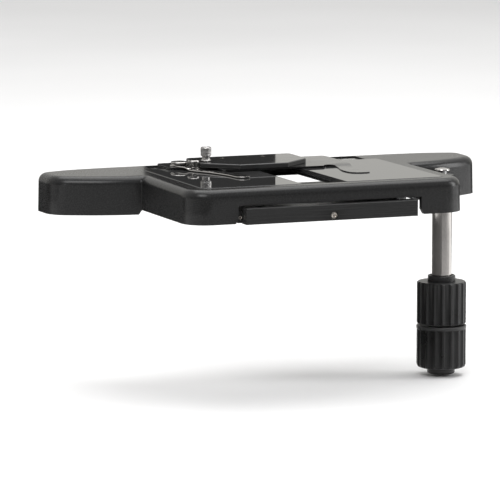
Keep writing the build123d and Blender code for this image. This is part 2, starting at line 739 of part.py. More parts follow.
with BuildPart() as y_knob:
    turned([(tube_radius, y_knob_bottom + 2.0), (shaft_radius + 0.5, y_knob_bottom + 2.0),
            (shaft_radius + 0.5, y_knob_bottom), (knob_radius - 0.5, y_knob_bottom),
            (knob_radius, y_knob_bottom + 0.5), (knob_radius, y_knob_top - 0.7),
            (knob_radius - 0.7, y_knob_top), (tube_radius, y_knob_top)])
    cut_flutes(y_knob_bottom + 0.6, y_knob_top + 1)
write(y_knob, "y_knob")

# ---------------------------------------------------------------- X shaft, knob and pulley

flute_top = x_knob_top - flange_height
cap_bottom = x_knob_bottom - cap_height
crown_bottom = 18.5
crown_radius = 4.2
crown_height = 1.5

with BuildPart() as x_knob:
    turned([(shaft_radius, x_knob_bottom), (knob_radius - 1.9, x_knob_bottom),
            (knob_radius - 0.5, x_knob_bottom + 0.55), (knob_radius, x_knob_bottom + 1.9),
            (knob_radius, flute_top), (flange_radius, flute_top), (flange_radius, x_knob_top - 0.4),
            (flange_radius - 0.4, x_knob_top), (shaft_radius, x_knob_top)])
    cut_flutes(x_knob_bottom - 1, flute_top - 0.4)
write(x_knob, "x_knob")

with BuildPart() as x_shaft:
    with BuildSketch(Plane.XY.offset(x_knob_bottom)):
        with Locations((shaft_x, shaft_y)):
            Circle(shaft_radius)
    extrude(amount=crown_bottom + 0.5 - x_knob_bottom)
write(x_shaft, "x_shaft")

with BuildPart() as x_knob_cap:
    with BuildSketch(Plane.XY.offset(cap_bottom)):
        with Locations((shaft_x, shaft_y)):
            Circle(collar_radius)
    extrude(amount=cap_height)
    fillet(x_knob_cap.edges().group_by(Axis.Z)[0], 1.2)
write(x_knob_cap, "x_knob_cap")

x_pulley_rim = x_pulley_radius - belt_inset
x_flange_rim = x_pulley_radius + 0.6
x_belt_top = x_belt_bottom + x_belt_width
with BuildPart() as x_pulley:
    turned([(shaft_radius, tube_top + 0.05), (x_pulley_rim, tube_top + 0.05),
            (x_pulley_rim, x_belt_top + 0.15), (x_flange_rim, x_belt_top + 0.15),
            (x_flange_rim, x_belt_top + 0.75), (shaft_radius, x_belt_top + 0.75)])
write(x_pulley, "x_pulley")

with BuildPart() as shaft_crown:
    turned([(0, crown_bottom + 0.5), (shaft_radius, crown_bottom + 0.5), (shaft_radius, crown_bottom),
            (crown_radius, crown_bottom), (crown_radius, crown_bottom + crown_height * 0.6),
            (crown_radius - 0.8, crown_bottom + crown_height), (0, crown_bottom + crown_height)])
write(shaft_crown, "shaft_crown")

for idler_name, (x, y) in idlers.items():
    with BuildPart() as idler:
        with BuildSketch(Plane.XY.offset(x_belt_bottom - 0.2)):
            with Locations((x, y)):
                Circle(idler_radius - belt_inset)
                Circle(idler_pin_radius + slip, mode=Mode.SUBTRACT)
        extrude(amount=x_belt_width + 0.3)
        with BuildSketch(Plane.XY.offset(x_belt_bottom - 0.8)):
            with Locations((x, y)):
                Circle(idler_radius + 0.5)
                Circle(idler_pin_radius + slip, mode=Mode.SUBTRACT)
        extrude(amount=0.6)
    write(idler, idler_name)

with BuildPart() as idler_pins:
    for x, y in idlers.values():
        for bottom, top, radius in ((x_belt_bottom - 1.9, x_belt_bottom - 1.0, 2.6),
                                    (x_belt_bottom - 1.0, deck_bottom, idler_pin_radius),
                                    (deck_bottom, deck_bottom + 2.8, 1.0)):
            with BuildSketch(Plane.XY.offset(bottom)):
                with Locations((x, y)):
                    Circle(radius)
            extrude(amount=top - bottom)
write(idler_pins, "idler_pins")


def x_belt_shape():
    """Area inside the X belt's middle line: along the guide, then forward to the tube."""
    inner_x, outer_x = shaft_x - x_pulley_radius, shaft_x + x_pulley_radius
    with BuildSketch(mode=Mode.PRIVATE) as area:
        with Locations((left_idler_x, guide_y)):
            Circle(idler_radius)
        with Locations(((left_idler_x + outer_x) / 2, guide_y)):
            Rectangle(outer_x - left_idler_x, 2 * idler_radius)
        with Locations((shaft_x, (shaft_y + front_run_y) / 2)):
            Rectangle(2 * x_pulley_radius, front_run_y - shaft_y)
        with Locations((shaft_x, shaft_y)):
            Circle(x_pulley_radius)
        round_corners(area, [(inner_x, front_run_y, idler_radius), (outer_x, rear_run_y, idler_radius)])
    return area.sketch


with BuildPart() as x_belt:
    with BuildSketch(Plane.XY.offset(x_belt_bottom)):
        with BuildSketch(mode=Mode.PRIVATE) as outer_area:
            add(x_belt_shape())
            offset(amount=belt_thickness / 2, mode=Mode.REPLACE)
        with BuildSketch(mode=Mode.PRIVATE) as inner_area:
            add(x_belt_shape())
            offset(amount=-belt_thickness / 2, mode=Mode.REPLACE)
        add(outer_area.sketch)
        add(inner_area.sketch, mode=Mode.SUBTRACT)
    extrude(amount=x_belt_width)
write(x_belt, "x_belt")

# ---------------------------------------------------------------- X guide and carriage


def dovetail(clearance):
    """Dovetail section on the YZ plane, grown by a clearance."""
    slope = (guide_top_width - guide_bottom_width) / 2 / guide_height
    half_bottom = guide_bottom_width / 2 + clearance
    top = guide_top + 3 * clearance
    half_top = half_bottom + slope * (top - guide_floor)
    with BuildLine() as outline:
        Polyline((guide_y - half_bottom, guide_floor), (guide_y - half_top, top),
                 (guide_y + half_top, top), (guide_y + half_bottom, guide_floor), close=True)
    make_face(outline.edges())


with BuildPart() as x_guide:
    with BuildSketch(Plane.YZ.offset(-guide_half_length)):
        dovetail(0)
    extrude(amount=2 * guide_half_length)
    drill(guide_screws, small_screw[0] + slip, guide_height + 1, small_screw[1] + 0.1, small_screw[2] + 0.1)
write(x_guide, "x_guide")

with BuildPart() as x_guide_fixings:
    add_screws([plane.offset(-small_screw[2] - 0.1) for plane in guide_screws], small_screw[1],
               small_screw[2], small_screw[0], guide_height - small_screw[2] + 1.2)
write(x_guide_fixings, "x_guide_screws")

carriage_bottom = guide_floor + seat_gap
clamp_half_width = 1.25
clamp_gap = 0.3
clamp_plate = 1.0
holder_screws = [z_plane(carriage_center_x + side * 12.0, guide_y - 5.6, block_top) for side in (-1, 1)]
with BuildPart() as x_carriage:
    with BuildSketch(Plane.XY.offset(carriage_bottom)):
        with Locations((carriage_center_x, guide_y)):
            RectangleRounded(carriage_length, carriage_width, 1.5)
    extrude(amount=holder_bottom - carriage_bottom)
    with BuildSketch(Plane.YZ.offset(carriage_center_x - carriage_length)):
        dovetail(slip)
    extrude(amount=2 * carriage_length, mode=Mode.SUBTRACT)
    with BuildSketch(Plane.XY.offset(carriage_bottom)):
        with Locations((carriage_center_x, front_run_y)):
            Rectangle(clamp_length, 2 * clamp_half_width)
    extrude(amount=clamp_plate, mode=Mode.SUBTRACT)
    drill([plane.offset(holder_bottom - block_top) for plane in holder_screws], small_screw[0] + slip, 2.4)
write(x_carriage, "x_carriage")

with BuildPart() as belt_clamp:
    with BuildSketch(Plane.YZ.offset(carriage_center_x - clamp_length / 2)):
        with Locations((front_run_y, (x_belt_bottom - 0.3 + carriage_bottom + clamp_plate) / 2)):
            Rectangle(2 * clamp_half_width, carriage_bottom + clamp_plate - x_belt_bottom + 0.3)
        inner_height = carriage_bottom - x_belt_bottom + 0.3
        with Locations((front_run_y, x_belt_bottom - 0.3 + inner_height / 2)):
            Rectangle(belt_thickness + 2 * clamp_gap, inner_height, mode=Mode.SUBTRACT)
    extrude(amount=clamp_length)
write(belt_clamp, "belt_clamp")

# ---------------------------------------------------------------- slide holder

thumb_shank = 1.25
spring_radius = 4.3
wire_radius = 0.25
pin_radius = 1.0
pin_x = pivot_x + spring_radius + wire_radius + slip + pin_radius
pin_y = pivot_y - 7.0
claw_tip = (slide_right_x + claw_hook, fence_y - claw_reach)
holder_right_x = slide_right_x + holder_arm_width
step_y = fence_y + fence_step

with BuildPart() as slide_holder:
    with BuildSketch(Plane.XY.offset(holder_bottom)) as holder_face:
        with BuildLine():
            # left lobe, step for the finger, fence, then the claw's hooked inner edge
            Polyline((lobe_front_x, step_y), (finger_notch_x, step_y), (finger_notch_x, fence_y),
                     (slide_right_x - 3.0, fence_y))
            ThreePointArc((slide_right_x - 3.0, fence_y), (slide_right_x + 1.8, fence_y + 3.0),
                          (slide_right_x + 3.9, fence_y + 1.0))
            Spline((slide_right_x + 3.9, fence_y + 1.0), (slide_right_x + 2.3, fence_y - 0.26 * claw_reach),
                   (slide_right_x, fence_y - 0.62 * claw_reach),
                   (slide_right_x + 0.1, fence_y - 0.82 * claw_reach),
                   (slide_right_x + 1.5, fence_y - 0.95 * claw_reach),
                   (slide_right_x + 4.5, fence_y - claw_reach - 0.4), claw_tip)
            Polyline(claw_tip, (claw_tip[0] + 0.8, claw_tip[1] + 2.2))
            Spline((claw_tip[0] + 0.8, claw_tip[1] + 2.2),
                   (slide_right_x + 9.6, fence_y - 0.66 * claw_reach),
                   (slide_right_x + 11.5, fence_y - 0.18 * claw_reach),
                   (holder_right_x, fence_y + 12.0))
            Polyline((holder_right_x, fence_y + 12.0), (holder_right_x, holder_back_y),
                     (lobe_left_x, holder_back_y), (lobe_left_x, lobe_left_y), (lobe_front_x, step_y))
        make_face()
        round_corners(holder_face, [
            (lobe_left_x, lobe_left_y, 5.0),
            (lobe_front_x, step_y, 2.0),
            (finger_notch_x, step_y, 1.5),
            (finger_notch_x, fence_y, 1.0),
            (lobe_left_x, holder_back_y, 3.0),
            (holder_right_x, holder_back_y, 3.0),
        ])
    extrude(amount=holder_thickness)
    drill([z_plane(thumb_x, thumb_y, holder_top)], thumb_shank + slip, 3.0)
    drill([z_plane(pivot_x, pivot_y, holder_top)], 1.0 + slip, 3.0)
    drill([z_plane(pin_x, pin_y, holder_top)], pin_radius - 0.3 + slip, 3.0)
    drill([plane.offset(holder_top - block_top) for plane in holder_screws], small_screw[0] + slip, 3.0)
write(slide_holder, "slide_holder")

with BuildPart() as holder_block:
    with BuildSketch(Plane.XY.offset(holder_top)) as block_face:
        left, right = block_center_x - block_half_width, block_center_x + block_half_width
        with BuildLine():
            Polyline((block_center_x - block_front_half, fence_y),
                     (block_center_x + block_front_half, fence_y),
                     (right, fence_y + block_bevel), (right, block_back_y), (left, block_back_y),
                     (left, fence_y + block_bevel), close=True)
        make_face()
        fillet(block_face.vertices().group_by(Axis.Y)[-1], 3.0)
        fillet(block_face.vertices().group_by(Axis.Y)[1], 4.0)
    extrude(amount=block_thickness)
    chamfer(holder_block.faces().sort_by(Axis.Z)[-1].edges(), 0.4)
    drill([z_plane(thumb_x, thumb_y, block_top)], thumb_shank + slip, 3.0)
    drill(holder_screws, small_screw[0] + slip, 3.0, small_screw[1] + 0.1, small_screw[2] + 0.1)
write(holder_block, "holder_block")

with BuildPart() as holder_fixings:
    add_screws([plane.offset(-small_screw[2] - 0.1) for plane in holder_screws], small_screw[1],
               small_screw[2], small_screw[0], block_top - holder_bottom - small_screw[2] + 2.0)
write(holder_fixings, "holder_screws")

thumb_neck_top = block_top + 2.9
with BuildPart() as thumb_screw:
    with BuildSketch(Plane.XY.offset(thumb_neck_top)):
        with Locations((thumb_x, thumb_y)):
            Circle(2.95)
    extrude(amount=4.9)
    chamfer(thumb_screw.edges().group_by(Axis.Z)[-1], 0.4)
    with BuildSketch(Plane.XY.offset(block_top + slip)):
        with Locations((thumb_x, thumb_y)):
            Circle(2.2)
    extrude(amount=thumb_neck_top - block_top - slip)
    with BuildSketch(Plane.XY.offset(holder_bottom)):
        with Locations((thumb_x, thumb_y)):
            Circle(thumb_shank)
    extrude(amount=block_top + slip - holder_bottom)
write(thumb_screw, "thumb_screw")

# ---------------------------------------------------------------- spring finger

hub_bottom = holder_top + slip
hub_top = hub_bottom + finger_thickness
finger_low = holder_bottom
spring_z = hub_top + slip + wire_radius
head_bottom = spring_z + wire_radius + slip
post_radius = 2.0
pivot_head_radius = 4.7
pivot_head_height = 1.1
blade_start = pivot_y - 13.2      # the finger steps down in front of the holder's plate
blade_end = pivot_y - 60.0

with BuildPart() as pivot_screw:
    for bottom, top, radius in ((holder_bottom, holder_top, 1.0), (holder_top, head_bottom, post_radius),
                                (head_bottom, head_bottom + pivot_head_height, pivot_head_radius)):
        with BuildSketch(Plane.XY.offset(bottom)):
            with Locations((pivot_x, pivot_y)):
                Circle(radius)
        extrude(amount=top - bottom)
    chamfer(pivot_screw.edges().group_by(Axis.Z)[-1], 0.3)
    with BuildSketch(Plane.XY.offset(head_bottom + pivot_head_height)):
        with Locations((pivot_x, pivot_y)):
            Rectangle(12.0, 1.0)
    extrude(amount=-0.5, mode=Mode.SUBTRACT)
write(pivot_screw, "pivot_screw")

with BuildPart() as spring_pin:
    for bottom, top, radius in ((holder_bottom, holder_top, pin_radius - 0.3),
                                (holder_top, block_top + slip, pin_radius),
                                (block_top + slip, block_top + slip + 1.1, 3.3)):
        with BuildSketch(Plane.XY.offset(bottom)):
            with Locations((pin_x, pin_y)):
                Circle(radius)
        extrude(amount=top - bottom)
    chamfer(spring_pin.edges().group_by(Axis.Z)[-1], 0.3)
write(spring_pin, "spring_pin")

with BuildPart() as finger_spring:
    with BuildLine() as wire:
        right_x, left_x = pivot_x + spring_radius, pivot_x - spring_radius
        Line((right_x, pin_y - 0.6, spring_z), (right_x, pivot_y, spring_z))
        ThreePointArc((right_x, pivot_y, spring_z), (pivot_x, pivot_y + spring_radius, spring_z),
                      (left_x, pivot_y, spring_z))
        Line((left_x, pivot_y, spring_z), (left_x, pivot_y - 4.6, spring_z))
    with BuildSketch(Plane(origin=wire.wire() @ 0, z_dir=wire.wire() % 0)):
        Circle(wire_radius)
    sweep()
write(finger_spring, "finger_spring")

with BuildPart() as spring_finger:
    # side profile: flat hub, joggle down, flat blade
    with BuildSketch(Plane.YZ.offset(pivot_x - 2 * hub_radius)):
        with BuildLine():
            Polyline((pivot_y + 6, hub_bottom), (pivot_y + 6, hub_top), (blade_start, hub_top),
                     (blade_start - 3.0, finger_low + finger_thickness),
                     (blade_end, finger_low + finger_thickness),
                     (blade_end, finger_low), (blade_start - 3.15, finger_low),
                     (blade_start - 0.15, hub_bottom), close=True)
        make_face()
    extrude(amount=8 * hub_radius)
    with BuildSketch(Plane.XY.offset(finger_low - 1)):
        with Locations((pivot_x, pivot_y)):
            Circle(hub_radius)
        with BuildLine():
            Spline((pivot_x - 3.5, pivot_y), (pivot_x - 0.6, pivot_y - 16.0),
                   (pivot_x + 7.4, pivot_y - 30.7), (pivot_x + 11.6, pivot_y - 46.5),
                   (pivot_x + 10.9, pivot_y - 53.3))
            Polyline((pivot_x + 10.9, pivot_y - 53.3), (pivot_x + 18.1, pivot_y - 56.2),
                     (pivot_x + 20.2, pivot_y - 51.0), (pivot_x + 20.7, pivot_y - 45.7))
            Spline((pivot_x + 20.7, pivot_y - 45.7), (pivot_x + 18.7, pivot_y - 41.0),
                   (pivot_x + 14.8, pivot_y - 30.0), (pivot_x + 10.0, pivot_y - 20.5),
                   (pivot_x + 3.4, pivot_y - 12.5), (pivot_x + 2.6, pivot_y))
            Line((pivot_x + 2.6, pivot_y), (pivot_x - 3.5, pivot_y))
        make_face()
    extrude(amount=6.0, mode=Mode.INTERSECT)
    with BuildSketch(Plane.XY.offset(finger_low)):
        with Locations((pivot_x, pivot_y)):
            Circle(post_radius + slip)
    extrude(amount=4.0, mode=Mode.SUBTRACT)
write(spring_finger, "spring_finger")

# ---------------------------------------------------------------- wing covers

cover_inner_x = moving_rail_back_x + 3.6
cover_front_y = inner_corner_y + 0.5
cover_screw_length = 7.0

for side, side_name in ((-1, "left"), (1, "right")):
    with BuildPart() as wing_cover:
        with BuildSketch(Plane.XY.offset(wing_bottom)):
            add(body_outline(wall + 0.3))
            with Locations((side * (cover_inner_x + wing_half_span) / 2, (cover_front_y + back_y) / 2)):
                Rectangle(wing_half_span - cover_inner_x, back_y - cover_front_y, mode=Mode.INTERSECT)
            with Locations((0, step_back_y + 0.3 - back_y)):
                Rectangle(2 * (front_half_width + step_bevel + 0.3), 2 * back_y, mode=Mode.SUBTRACT)
        extrude(amount=cover_thickness)
        drill([z_plane(x, y, wing_bottom, True) for x, y in cover_posts if x * side > 0],
              cover_screw[0] + slip, cover_thickness, cover_screw[1] + 0.1, cover_screw[2])
    write(wing_cover, f"{side_name}_wing_cover")

with BuildPart() as cover_fixings:
    add_screws([z_plane(x, y, wing_bottom + cover_screw[2], True) for x, y in cover_posts],
               cover_screw[1], cover_screw[2], cover_screw[0], cover_screw_length)
write(cover_fixings, "cover_screws")
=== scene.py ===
"""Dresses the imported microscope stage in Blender: materials, small details, floor, lights and camera."""

import json
import math

import bmesh
import bpy
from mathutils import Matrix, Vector


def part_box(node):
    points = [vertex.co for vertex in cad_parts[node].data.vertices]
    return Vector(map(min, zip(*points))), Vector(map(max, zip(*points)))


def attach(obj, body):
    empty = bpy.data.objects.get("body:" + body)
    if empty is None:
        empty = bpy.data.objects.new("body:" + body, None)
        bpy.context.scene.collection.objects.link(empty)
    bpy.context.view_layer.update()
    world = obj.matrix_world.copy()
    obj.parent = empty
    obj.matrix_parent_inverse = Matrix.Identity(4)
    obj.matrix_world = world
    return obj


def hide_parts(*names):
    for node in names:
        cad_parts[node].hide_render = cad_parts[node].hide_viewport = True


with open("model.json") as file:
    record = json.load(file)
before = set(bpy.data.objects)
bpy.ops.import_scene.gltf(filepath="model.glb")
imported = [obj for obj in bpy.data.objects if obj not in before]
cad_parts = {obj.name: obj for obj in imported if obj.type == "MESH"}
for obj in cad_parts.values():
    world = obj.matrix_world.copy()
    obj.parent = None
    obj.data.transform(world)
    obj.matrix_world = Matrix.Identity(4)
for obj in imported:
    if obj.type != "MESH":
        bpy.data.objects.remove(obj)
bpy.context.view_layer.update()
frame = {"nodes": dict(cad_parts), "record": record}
nodes = frame["nodes"]
MM = 0.001  # metres in a millimetre, the unit of the detail pieces, the cards and the camera's place


# ---------------------------------------------------------------- materials


class Surface:
    """One Principled material with its node graph, built step by step."""

    # noise hardly ever leaves this share of its range
    NOISE_LOW, NOISE_HIGH = 0.35, 0.65
    # pointiness is 0.5 on a flat face and grows on convex edges
    EDGE_START, EDGE_END = 0.505, 0.54

    def __init__(self, name, metallic=0.0, specular=0.5, anisotropic=0.0, edge_radius=0.0):
        self.material = bpy.data.materials.new(name)
        self.material.use_nodes = True
        tree = self.material.node_tree
        self.nodes, self.links = tree.nodes, tree.links
        self.shader = self.nodes["Principled BSDF"]
        self.shader.inputs["Metallic"].default_value = metallic
        self.shader.inputs["Specular IOR Level"].default_value = specular
        self.shader.inputs["Anisotropic"].default_value = anisotropic
        self.coords = self.nodes.new("ShaderNodeTexCoord").outputs["Object"]
        self.normal = None
        if edge_radius:
            # light catches each edge as if it were broken by this radius, in metres
            bevel = self.nodes.new("ShaderNodeBevel")
            bevel.inputs["Radius"].default_value = edge_radius
            self.normal = bevel.outputs["Normal"]

    def noise(self, scale, detail, stretch=(1, 1, 1)):
        """Noise in the object's own frame; scale is features a metre, stretch is below 1 along a lay."""
        mapping = self.nodes.new("ShaderNodeMapping")
        mapping.inputs["Scale"].default_value = stretch
        self.links.new(self.coords, mapping.inputs["Vector"])
        node = self.nodes.new("ShaderNodeTexNoise")
        node.inputs["Scale"].default_value = scale
        node.inputs["Detail"].default_value = detail
        self.links.new(mapping.outputs["Vector"], node.inputs["Vector"])
        return node.outputs["Fac"]

    def spread(self, value, low, high, start=NOISE_LOW, end=NOISE_HIGH):
        """Map a texture value from start and end on to low and high."""
        node = self.nodes.new("ShaderNodeMapRange")
        node.inputs["From Min"].default_value = start
        node.inputs["From Max"].default_value = end
        node.inputs["To Min"].default_value = low
        node.inputs["To Max"].default_value = high
        self.links.new(value, node.inputs["Value"])
        return node.outputs["Result"]

    def colour(self, dark, light, value, edge=None):
        """Blend two colours by a value, and towards an edge colour on convex edges: partly wear, partly a
        painted highlight where the edges catch light.
        """
        mix = self.nodes.new("ShaderNodeMix")
        mix.data_type = "RGBA"
        mix.inputs["A"].default_value = (*dark, 1)
        mix.inputs["B"].default_value = (*light, 1)
        self.links.new(value, mix.inputs["Factor"])
        result = mix.outputs["Result"]
        if edge:
            geometry = self.nodes.new("ShaderNodeNewGeometry")
            # convex edges are lightened here, partly as wear and partly as a painted highlight of edges
            # catching light
            edge_wear_and_highlight = self.spread(geometry.outputs["Pointiness"], 0, 1, self.EDGE_START, self.EDGE_END)
            blend = self.nodes.new("ShaderNodeMix")
            blend.data_type = "RGBA"
            blend.inputs["B"].default_value = (*edge, 1)
            self.links.new(edge_wear_and_highlight, blend.inputs["Factor"])
            self.links.new(result, blend.inputs["A"])
            result = blend.outputs["Result"]
        self.links.new(result, self.shader.inputs["Base Color"])

    def roughness(self, value):
        """Take the roughness from a value."""
        self.links.new(value, self.shader.inputs["Roughness"])

    def bump(self, value, depth, strength):
        """Raise the surface by a texture value; depth is in metres."""
        node = self.nodes.new("ShaderNodeBump")
        node.inputs["Distance"].default_value = depth
        node.inputs["Strength"].default_value = strength
        self.links.new(value, node.inputs["Height"])
        if self.normal:
            self.links.new(self.normal, node.inputs["Normal"])
        self.normal = node.outputs["Normal"]
        self.links.new(self.normal, self.shader.inputs["Normal"])


def grey(value, warm=0.0):
    """A linear grey, warmed by a share of its value."""
    return (value * (1 + warm), value, value * (1 - warm))


def moulded_black():
    """Satin moulded housing with a fine spark-eroded grain."""
    s = Surface("moulded_black", specular=0.3, edge_radius=0.0004)
    cloud = s.noise(35, 2)
    grain = s.noise(2600, 2)
    # the lighter edge colour is partly wear, partly a painted highlight
    s.colour(grey(0.007), grey(0.009), s.spread(cloud, 0, 1, 0.2, 0.8), edge=grey(0.02))
    s.roughness(s.spread(grain, 0.25, 0.29))
    s.bump(grain, 0.00002, 0.3)
    return s.material


def coated_plate():
    """Mirror-polished black hard coating with hair-fine wiping marks."""
    s = Surface("coated_plate", specular=0.32, edge_radius=0.0002)
    cloud = s.noise(40, 3)
    wipes = s.noise(1500, 2, (1, 0.04, 1))
    # the lighter edge colour is partly wear, partly a painted highlight
    s.colour(grey(0.004), grey(0.008), s.spread(cloud, 0, 1), edge=grey(0.03))
    s.roughness(s.spread(wipes, 0.02, 0.04))
    s.bump(wipes, 0.000001, 0.2)
    return s.material


def anodised_black(name, base, rough, specular):
    """Black anodised aluminium with a machined lay."""
    s = Surface(name, specular=specular, edge_radius=0.0003)
    lay = s.noise(1200, 3, (0.03, 1, 1))
    cloud = s.noise(60, 3)
    # edges 3.5 times lighter than the base: partly wear, partly a painted highlight
    s.colour(grey(base * 0.8), grey(base * 1.25), s.spread(cloud, 0, 1), edge=grey(base * 3.5))
    s.roughness(s.spread(lay, rough - 0.07, rough + 0.08))
    s.bump(lay, 0.000006, 0.5)
    return s.material


def knob_black():
    """Semi-gloss moulded knob."""
    s = Surface("knob_black", specular=0.28, edge_radius=0.0004)
    cloud = s.noise(90, 4)
    grain = s.noise(3500, 2)
    # the lighter edge colour is partly wear, partly a painted highlight
    s.colour(grey(0.006), grey(0.011), s.spread(cloud, 0, 1), edge=grey(0.03))
    s.roughness(s.spread(cloud, 0.26, 0.36))
    s.bump(grain, 0.000012, 0.4)
    return s.material


def turned_steel(name, value, rough, lay=(1, 1, 30), scale=120, warm=0.0):
    """Bright steel with turning or brushing marks along one direction."""
    s = Surface(name, metallic=1.0, anisotropic=0.3, edge_radius=0.0002)
    marks = s.noise(scale, 4, lay)
    cloud = s.noise(70, 3)
    s.colour(grey(value * 0.9, warm), grey(min(1.0, value * 1.06), warm), s.spread(cloud, 0, 1))
    s.roughness(s.spread(marks, rough * 0.75, rough * 1.3))
    s.bump(marks, 0.000004, 0.4)
    return s.material


def polished(name, value, rough, warm=0.0):
    """Polished or plated metal."""
    s = Surface(name, metallic=1.0, edge_radius=0.0002)
    cloud = s.noise(60, 3)
    lay = s.noise(2200, 2, (1, 0.06, 1))
    s.colour(grey(value * 0.95, warm), grey(min(1.0, value * 1.03), warm), s.spread(cloud, 0, 1))
    s.roughness(s.spread(lay, rough * 0.8, rough * 1.25))
    s.bump(lay, 0.000001, 0.3)
    return s.material


def rubber():
    """Matt belt rubber."""
    s = Surface("belt_rubber", specular=0.35)
    grain = s.noise(2500, 3)
    s.colour(grey(0.012), grey(0.022), s.spread(grain, 0, 1))
    s.roughness(s.spread(grain, 0.6, 0.75))
    s.bump(grain, 0.00002, 0.6)
    return s.material


def brass():
    """Turned bearing brass."""
    s = Surface("bearing_brass", metallic=1.0)
    marks = s.noise(200, 4, (1, 1, 12))
    s.colour((0.42, 0.30, 0.11), (0.60, 0.45, 0.18), s.spread(marks, 0, 1))
    s.roughness(s.spread(marks, 0.22, 0.36))
    s.bump(marks, 0.000004, 0.4)
    return s.material


def floor_finish():
    """Pale matt studio floor."""
    s = Surface("studio_floor", specular=0.2)
    cloud = s.noise(2.5, 2)
    s.colour(grey(0.80), grey(0.83), s.spread(cloud, 0, 1))
    s.roughness(s.spread(cloud, 0.7, 0.8))
    return s.material


finishes = {
    "body_black": moulded_black(),
    "plate_gloss": coated_plate(),
    "black_anodised": anodised_black("anodised_black", 0.007, 0.30, 0.14),
    "rail_steel": turned_steel("rail_steel", 0.42, 0.26, (1, 0.05, 1), 900),
    "polished_steel": polished("polished_steel", 0.45, 0.14, 0.03),
    "satin_steel": turned_steel("satin_steel", 0.52, 0.16, warm=0.04),
    "brass": brass(),
    "knob_black": knob_black(),
    "holder_black": anodised_black("holder_black", 0.008, 0.12, 0.5),
    "belt_rubber": rubber(),
    "screw_steel": polished("screw_steel", 0.50, 0.2, 0.08),
    "thumb_dark": polished("thumb_dark", 0.45, 0.18, 0.02),
}

# every CAD node takes the finish that the record names for it
for part in frame["record"]["subparts"]:
    node = nodes[part["node"]]
    finish = finishes[part["material_slot"]]
    if not node.material_slots:
        node.data.materials.append(finish)
    for slot in node.material_slots:
        slot.material = finish

# ---------------------------------------------------------------- detail pieces

SHARP_ANGLE = math.radians(38)


def add_piece(name, mesh_data, body, slot, node):
    """A Blender piece, given in mm, that stands for a CAD node and rides on its body."""
    verts, faces = mesh_data
    mesh = bpy.data.meshes.new(name)
    mesh.from_pydata([tuple(v * MM for v in p) for p in verts], [], faces)
    mesh.validate()
    work = bmesh.new()
    work.from_mesh(mesh)
    bmesh.ops.recalc_face_normals(work, faces=work.faces)
    work.to_mesh(mesh)
    work.free()
    for polygon in mesh.polygons:
        polygon.use_smooth = True
    piece = bpy.data.objects.new(name, mesh)
    bpy.context.collection.objects.link(piece)
    mesh.set_sharp_from_angle(angle=SHARP_ANGLE)
    mesh.materials.append(finishes[slot])
    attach(piece, body)
    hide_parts(node)


def loft(rings, closed_ends=True):
    """Faces between rings of equal length, each ring a closed loop of points."""
    count = len(rings[0])
    verts = [p for ring in rings for p in ring]
    faces = []
    for i in range(len(rings) - 1):
        for j in range(count):
            k = (j + 1) % count
            faces.append((i * count + j, i * count + k, (i + 1) * count + k, (i + 1) * count + j))
    if closed_ends:
        faces.append(tuple(range(count)))
        faces.append(tuple((len(rings) - 1) * count + j for j in range(count)))
    return verts, faces


def joined(*parts):
    """One set of vertices and faces from several."""
    verts, faces = [], []
    for part_verts, part_faces in parts:
        start = len(verts)
        verts += part_verts
        faces += [tuple(start + i for i in face) for face in part_faces]
    return verts, faces


def turning(x, y, profile, steps, ridges=0, depth=0.0, along_y=False):
    """A piece turned on the vertical axis at x and y, with ridges of the given depth where it is knurled.

    Each row of the profile is a radius, a height and the share of the knurl's depth it takes. With
    along_y the axis lies along Y instead, at x and the height y, and the rows' heights are places on Y.
    """
    rings = []
    for radius, place, share in profile:
        ring = []
        for j in range(steps):
            angle = 2 * math.pi * j / steps
            wave = abs(math.sin(ridges * angle / 2))
            r = radius - depth * share * (1 - wave)
            first, second = x + r * math.cos(angle), y + r * math.sin(angle)
            ring.append((first, place, second) if along_y else (first, second, place))
        rings.append(ring)
    return loft(rings)


THUMB_AXIS = (-35.0, 44.0)
THUMB_HEAD_HEIGHT = 4.9
THUMB_RIDGES, THUMB_RIDGE_DEPTH = 30, 0.16
thumb_foot, thumb_top = [corner[2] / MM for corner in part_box("thumb_screw")]
thumb_neck = thumb_top - THUMB_HEAD_HEIGHT
thumb_profile = [
    (1.20, thumb_foot, 0), (1.25, thumb_foot + 0.1, 0), (1.25, thumb_foot + 3.85, 0),
    # flared foot of the neck
    (2.75, thumb_foot + 3.9, 0), (2.85, thumb_foot + 4.1, 0), (2.55, thumb_foot + 4.5, 0),
    (2.2, thumb_foot + 4.7, 0), (2.1, thumb_neck - 0.4, 0),
    # head, knurled between its broken edges
    (2.2, thumb_neck, 0), (2.55, thumb_neck, 0), (2.92, thumb_neck + 0.35, 0), (2.95, thumb_neck + 0.5, 1),
    (2.95, thumb_top - 0.75, 1), (2.92, thumb_top - 0.6, 0), (2.70, thumb_top - 0.2, 0),
    # dished top
    (2.45, thumb_top, 0), (2.00, thumb_top, 0), (1.85, thumb_top - 0.15, 0), (1.75, thumb_top - 1.2, 0),
    (0.2, thumb_top - 1.3, 0)]
add_piece("knurled_thumb_screw",
          turning(*THUMB_AXIS, thumb_profile, 240, THUMB_RIDGES, THUMB_RIDGE_DEPTH),
          "thumb_screw", "thumb_dark", "thumb_screw")

PIVOT = (-48.4, 49.5)
FINGER_THICKNESS = 0.6
HUB_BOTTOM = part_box("spring_finger")[1][2] / MM - FINGER_THICKNESS
BLADE_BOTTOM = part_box("spring_finger")[0][2] / MM
# the blade steps down from the hub over this length, which starts this far from the pivot
JOGGLE_START, JOGGLE_LENGTH = 12.6, 4.2
